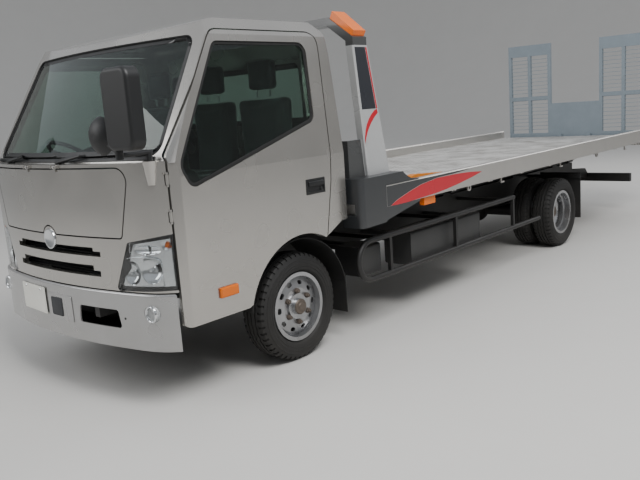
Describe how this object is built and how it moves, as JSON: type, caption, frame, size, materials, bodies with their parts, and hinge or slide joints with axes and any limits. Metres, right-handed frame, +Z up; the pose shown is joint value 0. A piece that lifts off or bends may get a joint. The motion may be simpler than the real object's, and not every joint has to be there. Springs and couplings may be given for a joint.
{
  "type": "slide-bed tow truck",
  "caption": "Cab-over slide-bed tow truck: tilting cab with opening doors and front lid, sliding and tilting flat deck, gantry, and a folding ramp gate.",
  "frame": {"origin": "on the ground under the middle of the truck's bounding box", "axes": "+Z up, -Y the way the truck faces, +X the truck's left side"},
  "size_m": [2.19, 7.84, 2.1999],
  "materials": {
    "cab_paint": "metallic silver",
    "chassis_black": "satin black",
    "bumper_paint": "silver grey",
    "dark_plastic": "grained",
    "tyre": "rubber",
    "wheel_paint": "silver",
    "glass": "green tint",
    "lamp_clear": "clear lens over chrome",
    "lamp_colour": "amber and red lenses",
    "seat_fabric": "woven",
    "deck_steel": "checker plate",
    "rail_paint": "light silver",
    "gantry_paint": "grey",
    "ramp_paint": "blue grey",
    "amber_paint": "amber",
    "bare_steel": "machined",
    "chrome": "hard chrome",
    "flap_rubber": "sheet",
    "tank_grey": "grey"
  },
  "bodies": {
    "chassis": {"frame": "chassis_black", "front_axle": "chassis_black", "rear_axle": "chassis_black", "driveline": "tank_grey", "exhaust": "bare_steel", "tanks_and_boxes": "tank_grey", "side_guards": "chassis_black", "mud_flaps": "flap_rubber", "front_bumper": "bumper_paint", "rear_bumper": "chassis_black", "chassis_lamps": "lamp_colour"},
    "cab": {"cab_shell": "cab_paint", "cab_floor": "dark_plastic", "cab_glass": "glass", "grille": "cab_paint", "headlights": "lamp_clear", "dashboard": "dark_plastic", "seats": "seat_fabric", "mirrors": "dark_plastic"},
    "steering_wheel": {"steering_wheel": "dark_plastic"},
    "door_left": {"door_left": "cab_paint", "door_glass_left": "glass"},
    "door_right": {"door_right": "cab_paint", "door_glass_right": "glass"},
    "service_lid": {"service_lid": "cab_paint"},
    "knuckle_left": {"knuckle_left": "chassis_black"},
    "knuckle_right": {"knuckle_right": "chassis_black"},
    "tie_rod": {"tie_rod": "chassis_black"},
    "wheel_front_left": {"rim_front_left": "wheel_paint", "tyre_front_left": "tyre"},
    "wheel_front_right": {"rim_front_right": "wheel_paint", "tyre_front_right": "tyre"},
    "wheels_rear_left": {"rim_rear_left": "wheel_paint", "tyre_rear_left": "tyre"},
    "wheels_rear_right": {"rim_rear_right": "wheel_paint", "tyre_rear_right": "tyre"},
    "tilt_frame": {"tilt_frame": "chassis_black"},
    "tilt_barrels": {"tilt_barrels": "chassis_black"},
    "tilt_rods": {"tilt_rods": "chrome"},
    "bed": {"deck": "deck_steel", "side_rails": "rail_paint", "corner_covers": "gantry_paint", "gantry": "gantry_paint", "bed_lamps": "lamp_colour", "winch": "bare_steel", "wheel_guides": "amber_paint", "gate_hinge": "bare_steel"},
    "gate": {"ramps": "ramp_paint", "gate_panel": "ramp_paint"}
  },
  "joints": [
    {"name": "cab_tilt", "type": "hinge", "parent": "chassis", "child": "cab", "pos_m": [0, -3.71, 0.86], "axis": [1, 0, 0], "range_deg": [0, 45]},
    {"name": "steering_column", "type": "hinge", "parent": "cab", "child": "steering_wheel", "pos_m": [-0.545, -3.29, 1.345], "axis": [0, 0.6157, 0.788], "range_deg": [-540, 540]},
    {"name": "door_left_hinge", "type": "hinge", "parent": "cab", "child": "door_left", "pos_m": [0.941, -3.659, 1.172], "axis": [0, 0, -1], "range_deg": [0, 65]},
    {"name": "door_right_hinge", "type": "hinge", "parent": "cab", "child": "door_right", "pos_m": [-0.941, -3.659, 1.172], "axis": [0, 0, 1], "range_deg": [0, 65]},
    {"name": "service_lid_hinge", "type": "hinge", "parent": "cab", "child": "service_lid", "pos_m": [0, -3.85, 1.352], "axis": [-1, 0, 0], "range_deg": [0, 60]},
    {"name": "steer_left", "type": "hinge", "parent": "chassis", "child": "knuckle_left", "pos_m": [0.735, -2.73, 0.3465], "axis": [0, 0, 1], "range_deg": [-35, 35]},
    {"name": "steer_right", "type": "hinge", "parent": "chassis", "child": "knuckle_right", "pos_m": [-0.735, -2.73, 0.3465], "axis": [0, 0, 1], "range_deg": [-35, 35]},
    {"name": "tie_rod_end", "type": "hinge", "parent": "knuckle_left", "child": "tie_rod", "pos_m": [0.735, -2.58, 0.25], "axis": [0, 0, 1], "range_deg": [-35, 35]},
    {"name": "wheel_front_left_spin", "type": "hinge", "parent": "knuckle_left", "child": "wheel_front_left", "pos_m": [0.835, -2.73, 0.3465], "axis": [1, 0, 0], "continuous": true},
    {"name": "wheel_front_right_spin", "type": "hinge", "parent": "knuckle_right", "child": "wheel_front_right", "pos_m": [-0.835, -2.73, 0.3465], "axis": [1, 0, 0], "continuous": true},
    {"name": "wheels_rear_left_spin", "type": "hinge", "parent": "chassis", "child": "wheels_rear_left", "pos_m": [0.785, 1.14, 0.3465], "axis": [1, 0, 0], "continuous": true},
    {"name": "wheels_rear_right_spin", "type": "hinge", "parent": "chassis", "child": "wheels_rear_right", "pos_m": [-0.785, 1.14, 0.3465], "axis": [1, 0, 0], "continuous": true},
    {"name": "bed_tilt", "type": "hinge", "parent": "chassis", "child": "tilt_frame", "pos_m": [0, 2.69, 0.64], "axis": [-1, 0, 0], "range_deg": [0, 9.5]},
    {"name": "ram_foot", "type": "hinge", "parent": "chassis", "child": "tilt_barrels", "pos_m": [0, 2.22, 0.42], "axis": [-1, 0, 0], "range_deg": [0, 5.31]},
    {"name": "ram_rods", "type": "slide", "parent": "tilt_barrels", "child": "tilt_rods", "axis": [0, -0.1414, 0.9899], "range_m": [0, 0.0811]},
    {"name": "bed_slide", "type": "slide", "parent": "tilt_frame", "child": "bed", "axis": [0, 1, 0], "range_m": [0, 2.4]},
    {"name": "gate_hinge", "type": "hinge", "parent": "bed", "child": "gate", "pos_m": [0, 3.86, 0.89], "axis": [-1, 0, 0], "range_deg": [0, 92.7]}
  ],
  "couplings": [
    {"joint": "steer_right", "follows": "steer_left", "ratio": 1},
    {"joint": "tie_rod_end", "follows": "steer_left", "ratio": -1},
    {"joint": "steering_column", "follows": "steer_left", "ratio": 15},
    {"joint": "ram_foot", "follows": "bed_tilt", "ratio": 0.55851},
    {"joint": "ram_rods", "follows": "bed_tilt", "m_per_rad": 0.48862}
  ]
}
